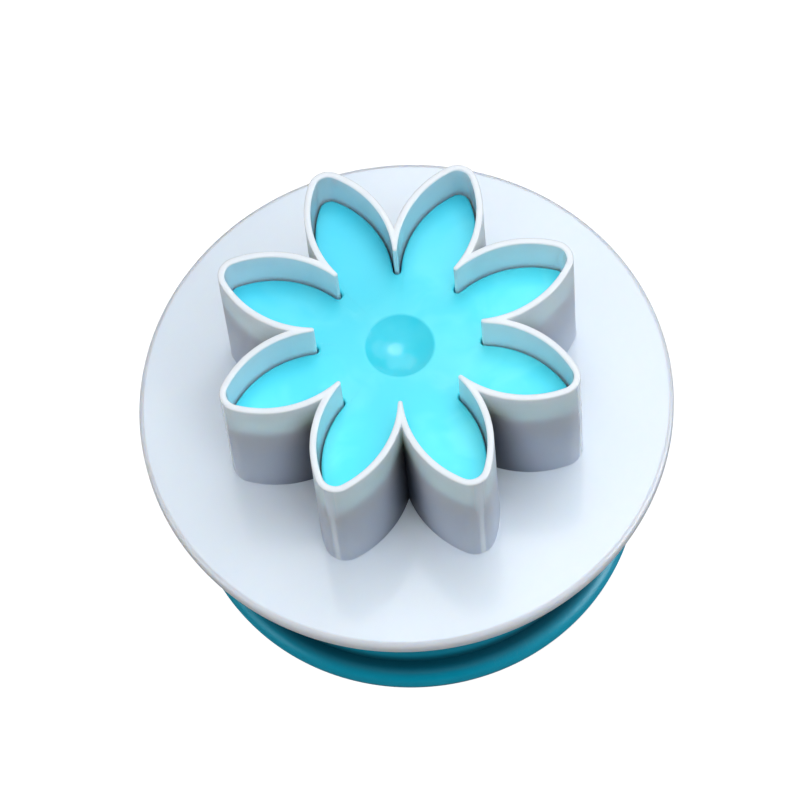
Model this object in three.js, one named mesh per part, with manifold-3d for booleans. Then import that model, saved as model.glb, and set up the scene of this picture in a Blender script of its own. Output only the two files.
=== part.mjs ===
// Flower plunger cutter for rolled dough and sugar paste.
// Millimetres, +Z up. It stands on its press knob with the blade up, and the origin is the centre
// of the face that it stands on.
import * as THREE from 'three';
import { mergeVertices } from 'three/addons/utils/BufferGeometryUtils.js';
import Module from 'manifold-3d';

const wasm = await Module();
wasm.setup();

// Clearances
const fitGap = 0.3; // between pieces that are fixed to each other or rest on each other
const slideGap = 0.4; // between pieces that slide along each other
const pressClearance = 1; // left between the pieces when the plunger is pressed home

// Flower, measured inside the blade: a petal on each axis and on each diagonal
const petalCount = 8;
const petalTip = 21.7; // centre to the tip
const petalTipRound = 1.6; // radius of the rounded tip
const notchRadius = 9.75; // centre to the blunt end of the wall between two petals
const notchEnd = 0.5; // width of that blunt end
const petalBulge = 0.69; // how much wider half a petal is at its widest than at that end

// Cutter moulding: blade, flange, guide sleeve for the knob and guide tube for the stem
const bladeHeight = 19.6;
const bladeRim = 0.8; // wall at the cutting rim
const bladeFoot = 0.95; // wall at the flange
const bladeRoot = 0.5; // how far the blade is carried into the flange
const flangeRadius = 32.5;
const flangeThickness = 2.2;
const flangeEdgeRound = 0.6;
const sleeveWall = 1.6;
const guideWall = 1.6;

// Ejector
const ejectorRecess = 5.4; // cutting rim to ejector face at rest
const ejectorProud = 0.6; // how far the face stands out of the blade when pressed home
const ejectorPlate = 2.5;
const ejectorWall = 1.3;
const dimpleRadius = 4.15;
const dimpleDepth = 1.3;
const hubWall = 1.5;
const hubLength = 4;
const hubLip = 0.8; // catches the stem's head from below

// Stem
const stemRadius = 4;
const stemHeadRadius = 6;
const stemHeadThickness = 2;
const stemBoreDepth = 13;

// Knob
const knobRadius = 26;
const skirtHeight = 12.6;
const skirtWall = 1.8;
const skirtEdgeRound = 0.6;
const knobFloor = 2.2;
const grooveHeight = 0.6; // shadow groove between the skirt and the cover
const grooveDepth = 1;
const bossWall = 1.9;
const socketDepth = 2.4; // seats the stem's end
const screwSeat = 1.6; // web that the screw pulls on
const spigotWall = 1.2; // ring that holds the cover
const spigotClearance = 0.7; // ring to the cover's floor

// Knob cover, a press plate with a full round lip
const lipOverhang = 2.3; // how far the lip stands out from the skirt
const lipRound = 1.8;
const coverRim = 4.8; // lip's outer edge to the hollow inside
const coverFloor = 1.8;
const dishRadius = 20; // shallow hollow in the face that is pressed
const dishDepth = 0.6;

// Screw and washer
const screwRadius = 1.3;
const screwLength = 12;
const screwHeadRadius = 2.8;
const screwHeadHeight = 2;
const screwHeadRound = 0.8;
const screwHeadClearance = 1.8; // head to the cover's floor
const driveWidth = 0.8;
const driveLength = 3.2;
const driveDepth = 1;
const washerRadius = 3.8;
const washerThickness = 0.8;

// Return spring
const wireRadius = 0.5;
const springTurns = 6;
const springEndGap = 0.2; // wire to wire in the closed turn at each end
const springClearance = 1.5; // guide tube to wire

// Facets
const roundSteps = 48; // round a large piece
const smallRoundSteps = 32; // round a small piece
const petalSideSteps = 6;
const petalTipSteps = 5;
const filletSteps = 3;
const lipSteps = 8;
const dishSteps = 4;
const wireSides = 8;
const wireStepsPerTurn = 12;

// Levels, from the standing face up
const travel = ejectorRecess + ejectorProud;
const coverTop = 2 * lipRound;
const knobBottom = coverTop + fitGap;
const knobFloorTop = knobBottom + knobFloor;
const skirtTop = knobBottom + skirtHeight;
const screwHeadBottom = coverFloor + screwHeadClearance;
const screwHeadTop = screwHeadBottom + screwHeadHeight;
const washerBottom = screwHeadTop + fitGap;
const washerTop = washerBottom + washerThickness;
const seatBottom = washerTop + fitGap;
const seatTop = seatBottom + screwSeat;
const stemBottom = seatTop + fitGap;
const bossTop = seatTop + socketDepth;
const sleeveBottom = knobFloorTop + travel + pressClearance;
const guideBottom = bossTop + travel + pressClearance;
const flangeBottom = skirtTop + travel + pressClearance;
const flangeTop = flangeBottom + flangeThickness;
const rimTop = flangeTop + bladeHeight;
const ejectorTop = rimTop - ejectorRecess;
const ejectorBottom = flangeTop + fitGap;
const plateBottom = ejectorTop - ejectorPlate;
const stemTop = plateBottom - fitGap;

// Radii that follow from the fits
const skirtInside = knobRadius - skirtWall;
const sleeveRadius = skirtInside - slideGap;
const guideBore = stemRadius + slideGap;
const guideRadius = guideBore + guideWall;
const socketRadius = stemRadius + fitGap;
const screwHole = screwRadius + fitGap;
const counterbore = washerRadius + fitGap;
const coverRadius = knobRadius + lipOverhang;
const coverInside = coverRadius - coverRim;
const spigotRadius = coverInside - fitGap;
const hubBore = stemHeadRadius + fitGap;
const springRadius = guideRadius + springClearance + wireRadius;

const quarterTurn = Math.PI / 2;

// Points on an arc, from one angle to the other, both ends included
function arc(centreX, centreY, radius, from, to, steps) {
  return Array.from({ length: steps + 1 }, (_, i) => {
    const angle = from + ((to - from) * i) / steps;
    return new THREE.Vector2(centreX + radius * Math.cos(angle), centreY + radius * Math.sin(angle));
  });
}

function point(x, y) {
  return new THREE.Vector2(x, y);
}

// Closed solid of a geometry, with its shared corners merged and its empty triangles left out
function solid(geometry) {
  geometry.deleteAttribute('normal');
  geometry.deleteAttribute('uv');
  const merged = mergeVertices(geometry);
  const corners = merged.index.array;
  const kept = [];
  for (let i = 0; i < corners.length; i += 3) {
    const [a, b, c] = [corners[i], corners[i + 1], corners[i + 2]];
    if (a !== b && b !== c && c !== a) kept.push(a, b, c);
  }
  return new wasm.Manifold(new wasm.Mesh({
    numProp: 3,
    vertProperties: new Float32Array(merged.attributes.position.array),
    triVerts: new Uint32Array(kept),
  }));
}

// Solid of a profile of (radius, height) points turned about Z, listed with the material on the left
function turned(profile, steps) {
  return solid(new THREE.LatheGeometry(profile, steps).rotateX(quarterTurn));
}

// The same for a profile that stays off the axis, closed on its first point
function turnedRing(profile, steps) {
  return turned([...profile, profile[0].clone()], steps);
}

// Straight prism of an outline between two heights
function prism(outline, bottom, top) {
  const options = { depth: top - bottom, bevelEnabled: false };
  return solid(new THREE.ExtrudeGeometry(new THREE.Shape(outline), options).translate(0, 0, bottom));
}

// Solid with straight sides from one outline up to another that has as many points
function loft(lower, upper, bottom, top) {
  const count = lower.length;
  const corners = [...lower.map((p) => [p.x, p.y, bottom]), ...upper.map((p) => [p.x, p.y, top])];
  const triangles = [];
  for (const [a, b, c] of THREE.ShapeUtils.triangulateShape(lower, [])) triangles.push(c, b, a);
  for (const [a, b, c] of THREE.ShapeUtils.triangulateShape(upper, [])) {
    triangles.push(count + a, count + b, count + c);
  }
  for (let i = 0; i < count; i += 1) {
    const next = (i + 1) % count;
    triangles.push(i, next, count + next, i, count + next, count + i);
  }
  const geometry = new THREE.BufferGeometry();
  geometry.setAttribute('position', new THREE.Float32BufferAttribute(corners.flat(), 3));
  geometry.setIndex(triangles);
  return solid(geometry);
}

// Half a petal lies between the petal's axis and the line through the next notch. Its side is one
// arc that starts at the notch's blunt end, is as wide as the petal and runs smoothly into the tip.
const halfPetal = Math.PI / petalCount;
const notchLine = point(Math.cos(halfPetal), Math.sin(halfPetal));
const notchSide = point(Math.sin(halfPetal), -Math.cos(halfPetal)); // from the line to the petal
const tipCentre = point(petalTip - petalTipRound, 0);

function notchCorner(grow) {
  return notchLine.clone().multiplyScalar(notchRadius + grow)
    .addScaledVector(notchSide, notchEnd / 2 - grow);
}

function petalSideArc() {
  const start = notchCorner(0);
  const halfWidth = start.y + petalBulge;
  const length = tipCentre.x - start.x;
  const tipDrop = halfWidth - petalTipRound;
  const ratio = tipDrop / petalBulge - 1;
  const rest = tipDrop * (petalBulge - petalTipRound - halfWidth) - length * length;
  const toWidest = (Math.sqrt(length * length - ratio * rest) - length) / ratio;
  const radius = (toWidest * toWidest / petalBulge + petalBulge) / 2;
  const centre = point(start.x + toWidest, halfWidth - radius);
  return {
    centre,
    radius,
    startAngle: start.clone().sub(centre).angle(),
    tipAngle: tipCentre.clone().sub(centre).angle(),
  };
}

const side = petalSideArc();

// Outline of the whole flower, grown outwards from the inside of the blade, or inwards if negative
function flower(grow) {
  const radius = side.radius + grow;
  const across = point(-notchLine.y, notchLine.x);
  // Outside the blade two petals meet on the notch line. Inside it they end at the blunt wall.
  const meetAngle = halfPetal + quarterTurn - Math.acos(-side.centre.dot(across) / radius);
  const startAngle = grow > 0 ? meetAngle : side.startAngle;
  // A flower grown inwards past the round of its tips has its sides meet on the petal's axis.
  const tipRound = petalTipRound + grow;
  const tipAngle = tipRound > 0 ? side.tipAngle : Math.asin(-side.centre.y / radius);
  const flank = arc(side.centre.x, side.centre.y, radius, tipAngle, startAngle, petalSideSteps);
  const tip = tipRound > 0
    ? arc(tipCentre.x, tipCentre.y, tipRound, -tipAngle, tipAngle, petalTipSteps)
    : [flank[0]];
  const upper = grow < 0 ? [...flank.slice(1), notchCorner(grow)] : flank.slice(1);
  const lower = upper.map((p) => point(p.x, -p.y)).reverse();
  const petal = [...(grow > 0 ? lower.slice(1) : lower), ...tip, ...upper];
  const outline = [];
  for (let k = 0; k < petalCount; k += 1) {
    for (const p of petal) outline.push(p.clone().rotateAround(point(0, 0), 2 * k * halfPetal));
  }
  return outline;
}

function cutterBody() {
  const edge = flangeRadius - flangeEdgeRound;
  const flange = turnedRing([
    point(guideBore, guideBottom),
    point(guideRadius, guideBottom),
    point(guideRadius, flangeBottom),
    point(sleeveRadius - sleeveWall, flangeBottom),
    point(sleeveRadius - sleeveWall, sleeveBottom),
    point(sleeveRadius, sleeveBottom),
    point(sleeveRadius, flangeBottom),
    ...arc(edge, flangeBottom + flangeEdgeRound, flangeEdgeRound, -quarterTurn, 0, filletSteps),
    ...arc(edge, flangeTop - flangeEdgeRound, flangeEdgeRound, 0, quarterTurn, filletSteps),
    point(guideBore, flangeTop),
  ], roundSteps);
  const outside = loft(flower(bladeFoot), flower(bladeRim), flangeTop - bladeRoot, rimTop);
  const inside = prism(flower(0), flangeTop - 2 * bladeRoot, rimTop + bladeRoot);
  return outside.subtract(inside).add(flange);
}

function flowerEjector() {
  const outside = prism(flower(-slideGap), ejectorBottom, ejectorTop);
  const inside = prism(flower(-slideGap - ejectorWall), ejectorBottom - ejectorWall, plateBottom);
  const hubOverlap = ejectorPlate / 2;
  const hubBottom = plateBottom - hubLength;
  const lipTop = stemTop - stemHeadThickness - fitGap;
  const hub = turnedRing([
    point(stemHeadRadius - hubLip, hubBottom),
    point(hubBore + hubWall, hubBottom),
    point(hubBore + hubWall, plateBottom + hubOverlap),
    point(hubBore, plateBottom + hubOverlap),
    point(hubBore, lipTop),
    point(stemHeadRadius - hubLip, lipTop),
  ], smallRoundSteps);
  const ball = (dimpleRadius ** 2 + dimpleDepth ** 2) / (2 * dimpleDepth);
  const ballAngle = Math.asin(dimpleRadius / ball);
  const ballCentre = ejectorTop - dimpleDepth + ball;
  const dimple = turned([
    ...arc(0, ballCentre, ball, -quarterTurn, ballAngle - quarterTurn, dishSteps),
    point(dimpleRadius, ejectorTop + dimpleDepth),
    point(0, ejectorTop + dimpleDepth),
  ], smallRoundSteps);
  return outside.subtract(inside).add(hub.intersect(outside)).subtract(dimple);
}

function plungerStem() {
  return turned([
    point(0, stemBottom + stemBoreDepth),
    point(screwHole, stemBottom + stemBoreDepth),
    point(screwHole, stemBottom),
    point(stemRadius, stemBottom),
    point(stemRadius, stemTop - stemHeadThickness),
    point(stemHeadRadius, stemTop - stemHeadThickness),
    point(stemHeadRadius, stemTop),
    point(0, stemTop),
  ], smallRoundSteps);
}

function pushKnob() {
  const grooveTop = knobBottom + grooveHeight;
  const edge = knobRadius - skirtEdgeRound;
  return turnedRing([
    point(spigotRadius - spigotWall, coverFloor + spigotClearance),
    point(spigotRadius, coverFloor + spigotClearance),
    point(spigotRadius, knobBottom),
    point(knobRadius - grooveDepth, knobBottom),
    point(knobRadius - grooveDepth, grooveTop),
    point(knobRadius, grooveTop),
    ...arc(edge, skirtTop - skirtEdgeRound, skirtEdgeRound, 0, quarterTurn, filletSteps),
    point(skirtInside, skirtTop),
    point(skirtInside, knobFloorTop),
    point(socketRadius + bossWall, knobFloorTop),
    point(socketRadius + bossWall, bossTop),
    point(socketRadius, bossTop),
    point(socketRadius, seatTop),
    point(screwHole, seatTop),
    point(screwHole, seatBottom),
    point(counterbore, seatBottom),
    point(counterbore, knobBottom),
    point(spigotRadius - spigotWall, knobBottom),
  ], roundSteps);
}

function knobCover() {
  const lipCentre = coverRadius - lipRound;
  const ball = (dishRadius ** 2 + dishDepth ** 2) / (2 * dishDepth);
  const ballAngle = Math.asin(dishRadius / ball);
  return turned([
    ...arc(0, dishDepth - ball, ball, quarterTurn, quarterTurn - ballAngle, dishSteps),
    ...arc(lipCentre, lipRound, lipRound, -quarterTurn, quarterTurn, lipSteps),
    point(coverInside, coverTop),
    point(coverInside, coverFloor),
    point(0, coverFloor),
  ], roundSteps);
}

function retainingScrew() {
  const edge = screwHeadRadius - screwHeadRound;
  const blank = turned([
    point(0, screwHeadBottom),
    ...arc(edge, screwHeadBottom + screwHeadRound, screwHeadRound, -quarterTurn, 0, filletSteps),
    point(screwHeadRadius, screwHeadTop),
    point(screwRadius, screwHeadTop),
    point(screwRadius, screwHeadTop + screwLength - screwRadius),
    point(0, screwHeadTop + screwLength),
  ], smallRoundSteps);
  const slot = (sizeX, sizeY) => solid(
    new THREE.BoxGeometry(sizeX, sizeY, 2 * driveDepth).translate(0, 0, screwHeadBottom),
  );
  return blank.subtract(slot(driveLength, driveWidth)).subtract(slot(driveWidth, driveLength));
}

function screwWasher() {
  return turnedRing([
    point(screwHole, washerBottom),
    point(washerRadius, washerBottom),
    point(washerRadius, washerTop),
    point(screwHole, washerTop),
  ], smallRoundSteps);
}

// Centre line of the spring: a closed turn at each end and evenly open turns between them
class SpringLine extends THREE.Curve {
  getPoint(t, target = new THREE.Vector3()) {
    const bottom = knobFloorTop + fitGap + wireRadius;
    const top = flangeBottom - fitGap - wireRadius;
    const endPitch = 2 * wireRadius + springEndGap;
    const openPitch = (top - bottom - 2 * endPitch) / (springTurns - 2);
    const turn = t * springTurns;
    const openTurns = THREE.MathUtils.clamp(turn - 1, 0, springTurns - 2);
    const height = bottom + (turn - openTurns) * endPitch + openTurns * openPitch;
    const angle = 2 * Math.PI * turn;
    return target.set(springRadius * Math.cos(angle), springRadius * Math.sin(angle), height);
  }
}

function returnSpring() {
  const section = new THREE.Shape(arc(0, 0, wireRadius, 0, 2 * Math.PI, wireSides).slice(1));
  return solid(new THREE.ExtrudeGeometry(section, {
    steps: springTurns * wireStepsPerTurn,
    extrudePath: new SpringLine(),
  }));
}

const whitePlastic = new THREE.MeshStandardMaterial({ color: 0xe6eef4, roughness: 0.28, metalness: 0 });
const cyanPlastic = new THREE.MeshStandardMaterial({ color: 0x52d2f0, roughness: 0.38, metalness: 0 });
const tealPlastic = new THREE.MeshStandardMaterial({ color: 0x0f7f98, roughness: 0.32, metalness: 0 });
const springSteel = new THREE.MeshStandardMaterial({ color: 0xb8bcc0, roughness: 0.3, metalness: 1 });
const screwSteel = new THREE.MeshStandardMaterial({ color: 0xc6c9cc, roughness: 0.35, metalness: 1 });

function namedMesh(name, body, material) {
  const { vertProperties, triVerts } = body.getMesh();
  const geometry = new THREE.BufferGeometry();
  geometry.setAttribute('position', new THREE.Float32BufferAttribute(vertProperties, 3));
  geometry.setIndex(Array.from(triVerts));
  geometry.computeVertexNormals();
  const mesh = new THREE.Mesh(geometry, material);
  mesh.name = name;
  return mesh;
}

const cutter = new THREE.Group();
cutter.add(
  namedMesh('cutter_body', cutterBody(), whitePlastic),
  namedMesh('flower_ejector', flowerEjector(), cyanPlastic),
  namedMesh('plunger_stem', plungerStem(), cyanPlastic),
  namedMesh('return_spring', returnSpring(), springSteel),
  namedMesh('push_knob', pushKnob(), tealPlastic),
  namedMesh('knob_cover', knobCover(), tealPlastic),
  namedMesh('retaining_screw', retainingScrew(), screwSteel),
  namedMesh('screw_washer', screwWasher(), screwSteel),
);

export default cutter;
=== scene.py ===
import math

import bmesh
import bpy
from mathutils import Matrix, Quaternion, Vector


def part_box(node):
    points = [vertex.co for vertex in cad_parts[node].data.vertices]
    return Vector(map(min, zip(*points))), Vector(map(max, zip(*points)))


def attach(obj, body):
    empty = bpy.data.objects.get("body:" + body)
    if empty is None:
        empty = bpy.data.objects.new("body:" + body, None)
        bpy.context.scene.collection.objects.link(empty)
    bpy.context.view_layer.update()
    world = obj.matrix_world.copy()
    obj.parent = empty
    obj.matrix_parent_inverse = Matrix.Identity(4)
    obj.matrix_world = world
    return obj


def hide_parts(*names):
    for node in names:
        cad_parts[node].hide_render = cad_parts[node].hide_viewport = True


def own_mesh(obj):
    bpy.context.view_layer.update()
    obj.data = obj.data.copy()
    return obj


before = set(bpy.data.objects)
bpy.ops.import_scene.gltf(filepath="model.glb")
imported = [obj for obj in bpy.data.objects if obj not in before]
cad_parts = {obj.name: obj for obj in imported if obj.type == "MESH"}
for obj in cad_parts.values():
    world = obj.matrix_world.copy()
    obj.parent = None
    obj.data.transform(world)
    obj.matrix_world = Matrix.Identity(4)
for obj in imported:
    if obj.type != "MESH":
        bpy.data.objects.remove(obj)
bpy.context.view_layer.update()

MM = 0.001
QUARTER_TURN = math.pi / 2
FULL_TURN = 2 * math.pi
MERGE = 0.0005 * MM
ORIGIN = (0, 0, 0)
UP = (0, 0, 1)

# Places that the frame gives, in metres
body_low, body_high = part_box("cutter_body")
ejector_low, ejector_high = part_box("flower_ejector")
knob_low, knob_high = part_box("push_knob")
_, cover_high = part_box("knob_cover")
stem_low, stem_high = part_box("plunger_stem")
spring_low, spring_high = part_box("return_spring")
screw_low, screw_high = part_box("retaining_screw")
washer_low, washer_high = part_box("screw_washer")

# Flower, measured inside the blade: half a petal runs from its tip to the notch beside it
PETALS = 8
HALF_PETAL = math.pi / PETALS
SLIDE_GAP = 0.4 * MM
PETAL_TIP = ejector_high.x + SLIDE_GAP
TIP_ROUND = 1.6 * MM
TIP_CENTRE = Vector((PETAL_TIP - TIP_ROUND, 0))
NOTCH_RADIUS = 9.75 * MM
NOTCH_LINE = Vector((math.cos(HALF_PETAL), math.sin(HALF_PETAL)))
ACROSS_NOTCH = Vector((-NOTCH_LINE.y, NOTCH_LINE.x))
SIDE_CENTRE = Vector((13.151, -8.028)) * MM
SIDE_RADIUS = (TIP_CENTRE - SIDE_CENTRE).length + TIP_ROUND
SECTION_TIP_STEPS = 7
SECTION_SIDE_STEPS = 22
SECTION_NOSE_STEPS = 3
SECTION_STEPS = SECTION_TIP_STEPS + SECTION_SIDE_STEPS + SECTION_NOSE_STEPS

# Cutter moulding
RIM_TOP = body_high.z
BLADE_HEIGHT = 19.6 * MM
BLADE_RIM = 0.8 * MM
BLADE_FOOT = 0.95 * MM
RIM_ROUND = 0.18 * MM
FOOT_FILLET = 0.12 * MM
WALL_ROWS = 8
# Painted shade in the valleys between petals: its width at the rim and at the foot, and the drop below the
# rim at which it is full.
VALLEY_SHADE_SPREAD = (1.0 * MM, 3.2 * MM)
VALLEY_SHADE_START = 5.0 * MM
FLANGE_TOP = RIM_TOP - BLADE_HEIGHT
FLANGE_THICKNESS = 2.2 * MM
FLANGE_BOTTOM = FLANGE_TOP - FLANGE_THICKNESS
FLANGE_RADIUS = body_high.x
FLANGE_EDGE_ROUND = 0.6 * MM
SLEEVE_RADIUS = 23.8 * MM
SLEEVE_WALL = 1.6 * MM
SLEEVE_ROUND = 0.4 * MM
GUIDE_BORE = 4.4 * MM
GUIDE_RADIUS = 6.0 * MM
GUIDE_BOTTOM = 18.0 * MM
GUIDE_ROUND = 0.3 * MM

# Ejector
EJECTOR_GAP = 0.2 * MM
EJECTOR_ROUND = 0.35 * MM
EJECTOR_PLATE = 2.5 * MM
EJECTOR_WALL = 1.3 * MM
DIMPLE_RADIUS = 4.15 * MM
DIMPLE_DEPTH = 1.3 * MM
DIMPLE_EDGE_ROUND = 0.5 * MM
HUB_BORE = 6.3 * MM
HUB_RADIUS = 7.8 * MM
HUB_LENGTH = 4.0 * MM
HUB_LIP_RADIUS = 5.2 * MM
HUB_LIP_TOP = 34.8 * MM

# Steps of the rounds
EDGE_STEPS = 4
BOWL_STEPS = 8
DIMPLE_EDGE_STEPS = 6
POLE_RADIUS = 0.05 * MM
TURN_STEPS = 192
SMALL_TURN_STEPS = 64


# Modelling helpers: each leaves what it has drawn selected


def start_piece(name):
    """A new empty mesh at the origin, open in edit mode."""
    bpy.ops.object.select_all(action="DESELECT")
    bpy.ops.mesh.primitive_plane_add(size=MM)
    piece = bpy.context.object
    piece.name = name
    bpy.ops.object.mode_set(mode="EDIT")
    bpy.context.tool_settings.mesh_select_mode = (True, False, False)
    bpy.ops.mesh.delete(type="VERT")
    return piece


def place_vertex(place):
    """A single vertex, made by merging a small plane."""
    bpy.ops.mesh.select_all(action="DESELECT")
    bpy.ops.mesh.primitive_plane_add(size=MM)
    bpy.ops.mesh.merge(type="CENTER")
    bpy.ops.transform.translate(value=place)


def sweep(centre, angle, steps):
    """Carries the selection round an arc about Z. Spin counts angles the other way round."""
    bpy.ops.mesh.spin(steps=steps, angle=-angle, center=centre, axis=UP)


def select_vertices(piece, wanted):
    """Selects the vertices for which wanted(vertex) is true."""
    mesh = bmesh.from_edit_mesh(piece.data)
    for vertex in mesh.verts:
        vertex.select_set(wanted(vertex))
    mesh.select_flush_mode()
    bmesh.update_edit_mesh(piece.data)


def close_mesh():
    """Merges seams, points the faces outwards and leaves edit mode."""
    bpy.ops.mesh.select_all(action="SELECT")
    bpy.ops.mesh.remove_doubles(threshold=MERGE)
    bpy.ops.mesh.normals_make_consistent(inside=False)
    bpy.ops.object.mode_set(mode="OBJECT")


def apply_modifier(piece, kind, **settings):
    modifier = piece.modifiers.new(kind.lower(), kind)
    for name, value in settings.items():
        setattr(modifier, name, value)
    bpy.context.view_layer.objects.active = piece
    bpy.ops.object.modifier_apply(modifier=modifier.name)


def smooth(piece, crease=35):
    """Smooth shading up to the crease angle in degrees. Large faces keep their own normal."""
    bpy.ops.object.select_all(action="DESELECT")
    piece.select_set(True)
    bpy.context.view_layer.objects.active = piece
    bpy.ops.object.shade_smooth_by_angle(angle=math.radians(crease))
    apply_modifier(piece, "WEIGHTED_NORMAL", keep_sharp=True)


def hand_over(piece, node, body, slot, *finishes):
    """The piece stands for its CAD node, on that node's body. The slot is not used."""
    piece.data.materials.clear()
    for finish in finishes:
        piece.data.materials.append(finish)
    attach(piece, body)
    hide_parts(node)
    return piece


# Sections of the flower pieces: half a petal's worth, from the petal's axis to the notch line


def angle_of(vector):
    return math.atan2(vector.y, vector.x)


def nose_round():
    """Radius of the round nose that ends the wall at a notch and runs smoothly into both sides."""
    along = NOTCH_LINE.dot(SIDE_CENTRE)
    squares = SIDE_RADIUS**2 - NOTCH_RADIUS**2 - SIDE_CENTRE.length_squared
    return (squares + 2 * NOTCH_RADIUS * along) / (2 * (NOTCH_RADIUS - along - SIDE_RADIUS))


NOSE_ROUND = nose_round()
NOSE_CENTRE = NOTCH_LINE * (NOTCH_RADIUS + NOSE_ROUND)
NOSE_ANGLE = angle_of(NOSE_CENTRE - SIDE_CENTRE)
TIP_ANGLE = angle_of(TIP_CENTRE - SIDE_CENTRE)


def draw_ring(radius, height):
    place_vertex((radius, 0, height))
    sweep(ORIGIN, HALF_PETAL, SECTION_STEPS)


def draw_petal(grow, height):
    """The flower's outline, grown outwards from the inside of the blade, or inwards if negative."""
    side = (*SIDE_CENTRE, 0)
    place_vertex((PETAL_TIP + grow, 0, height))
    sweep((*TIP_CENTRE, 0), TIP_ANGLE, SECTION_TIP_STEPS)
    if grow < NOSE_ROUND:
        sweep(side, NOSE_ANGLE - TIP_ANGLE, SECTION_SIDE_STEPS)
        sweep((*NOSE_CENTRE, 0), HALF_PETAL - NOSE_ANGLE, SECTION_NOSE_STEPS)
    else:
        slant = math.acos(-SIDE_CENTRE.dot(ACROSS_NOTCH) / (SIDE_RADIUS + grow))
        meet_angle = HALF_PETAL + QUARTER_TURN - slant
        sweep(side, meet_angle - TIP_ANGLE, SECTION_SIDE_STEPS + SECTION_NOSE_STEPS)


def quarter(draw, size, height, radius, start, end, steps=EDGE_STEPS):
    """Sections round an arc about (size, height), both ends included, angles in quarter turns."""
    angles = [(start + (end - start) * i / steps) * QUARTER_TURN for i in range(steps + 1)]
    return [(draw, size + radius * math.cos(a), height + radius * math.sin(a)) for a in angles]


def flower_piece(name, sections, closed):
    """Bridges the sections one to the next, then mirrors and turns the slice to the whole flower."""
    piece = start_piece(name)
    for draw, size, height in sections:
        draw(size, height)
    count = SECTION_STEPS + 1
    for i in range(len(sections) if closed else len(sections) - 1):
        pair = (i, (i + 1) % len(sections))
        select_vertices(piece, lambda vertex: vertex.index // count in pair)
        bpy.ops.mesh.bridge_edge_loops()
    bpy.ops.mesh.select_all(action="SELECT")
    bpy.ops.mesh.duplicate()
    bpy.ops.transform.resize(value=(1, -1, 1), center_override=ORIGIN)
    bpy.ops.mesh.select_all(action="SELECT")
    copies = PETALS - 1
    bpy.ops.mesh.spin(steps=copies, dupli=True, angle=FULL_TURN * copies / PETALS, center=ORIGIN, axis=UP)
    bpy.ops.mesh.select_all(action="SELECT")
    bpy.ops.mesh.remove_doubles(threshold=MERGE)
    return piece


def close_pole(piece, height):
    """Merges the smallest ring at that height to a single vertex on the axis."""

    def at_pole(vertex):
        near_axis = math.hypot(vertex.co.x, vertex.co.y) < 2 * POLE_RADIUS
        return near_axis and abs(vertex.co.z - height) < POLE_RADIUS

    select_vertices(piece, at_pole)
    bpy.ops.mesh.merge(type="CENTER")


def turned_piece(name, corners, ring, steps=TURN_STEPS):
    """A profile of (radius, height, round) corners turned about Z. A ring stays off the axis."""
    piece = start_piece(name)
    first_radius, first_height, _ = corners[0]
    place_vertex((first_radius, 0, first_height))
    for (radius, height, _), (next_radius, next_height, _) in zip(corners, corners[1:]):
        step = (next_radius - radius, 0, next_height - height)
        bpy.ops.mesh.extrude_vertices_move(TRANSFORM_OT_translate={"value": step})
    if ring:
        ends = [Vector((radius, 0, height)) for radius, height, _ in (corners[0], corners[-1])]
        select_vertices(piece, lambda vertex: min((vertex.co - end).length for end in ends) < MERGE)
        bpy.ops.mesh.edge_face_add()
    for radius, height, corner_round in corners:
        if corner_round:
            corner = Vector((radius, 0, height))
            select_vertices(piece, lambda vertex: (vertex.co - corner).length < MERGE)
            bpy.ops.mesh.bevel(offset=corner_round, segments=EDGE_STEPS, affect="VERTICES")
    bpy.ops.mesh.select_all(action="SELECT")
    bpy.ops.mesh.remove_doubles(threshold=MERGE)
    bpy.ops.mesh.spin(steps=steps, angle=FULL_TURN, center=ORIGIN, axis=UP)
    close_mesh()
    return piece


def wound_piece(name, wire, sides, radius, bottom, rises, steps_per_turn):
    """A wire wound about Z that climbs by one of the rises at each step.

    The wire's section has its first corner outwards, so that three sides make a thread.
    """
    bpy.ops.object.select_all(action="DESELECT")
    outwards = (QUARTER_TURN, QUARTER_TURN, 0)
    start = (radius, 0, bottom)
    bpy.ops.mesh.primitive_circle_add(vertices=sides, radius=wire, location=start, rotation=outwards)
    piece = bpy.context.object
    piece.name = name
    bpy.ops.object.transform_apply()
    bpy.ops.object.mode_set(mode="EDIT")
    bpy.ops.mesh.select_all(action="SELECT")
    for rise in rises:
        sweep(ORIGIN, FULL_TURN / steps_per_turn, 1)
        bpy.ops.transform.translate(value=(0, 0, rise))
    bpy.ops.mesh.select_all(action="SELECT")
    bpy.ops.mesh.fill_holes(sides=0)
    close_mesh()
    return piece


def petal_turn(place):
    """The angle between a place and the axis of the nearest petal."""
    turn = angle_of(place) % (2 * HALF_PETAL)
    return min(turn, 2 * HALF_PETAL - turn)


def outside_blade(place):
    """Whether a place lies outside the middle of the blade's wall."""
    turn = petal_turn(place)
    folded = Vector((math.cos(turn), math.sin(turn))) * math.hypot(place.x, place.y)
    return (folded - SIDE_CENTRE).length - SIDE_RADIUS > BLADE_RIM / 2


def valley_shade_depth(place):
    """How deep a place on the outside of the blade lies in the valley between two petals, 0 to 1: how much
    painted shade it gets.
    """
    if not outside_blade(place) or place.z < FLANGE_TOP + FOOT_FILLET / 2:
        return 0.0
    across = math.hypot(place.x, place.y) * math.sin(HALF_PETAL - petal_turn(place))
    drop = RIM_TOP - place.z
    narrow, wide = VALLEY_SHADE_SPREAD
    spread = narrow + (wide - narrow) * drop / BLADE_HEIGHT
    return min(drop / VALLEY_SHADE_START, 1.0) * math.exp(-((across / spread) ** 2))


# Pieces


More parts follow.
